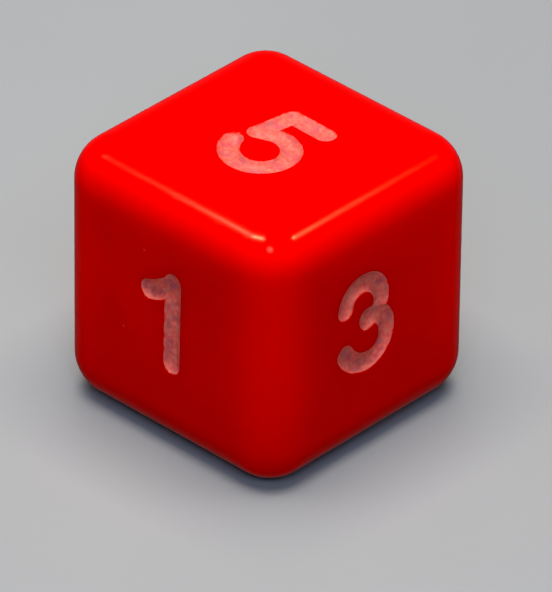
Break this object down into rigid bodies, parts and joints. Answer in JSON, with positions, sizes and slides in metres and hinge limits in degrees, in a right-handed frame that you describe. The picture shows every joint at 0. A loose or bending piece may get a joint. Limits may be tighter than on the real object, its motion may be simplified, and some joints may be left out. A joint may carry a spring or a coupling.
{
  "type": "numbered six-sided die",
  "caption": "Small moulded cube die with rounded edges and sunk, paint-filled numerals on its faces.",
  "frame": {"origin": "centre of the cube", "axes": "+Z out of the five, -Y out of the one, +X out of the three; opposite faces add up to seven"},
  "size_m": [0.016, 0.016, 0.016],
  "materials": {
    "moulded_red": "glossy moulded plastic, opaque red",
    "numeral_paint": "thin matt paint, pinkish white, unevenly laid"
  },
  "bodies": {
    "root": {"die_body": "moulded_red", "paint_one": "numeral_paint", "paint_two": "numeral_paint", "paint_three": "numeral_paint", "paint_four": "numeral_paint", "paint_five": "numeral_paint", "paint_six": "numeral_paint"}
  },
  "joints": []
}
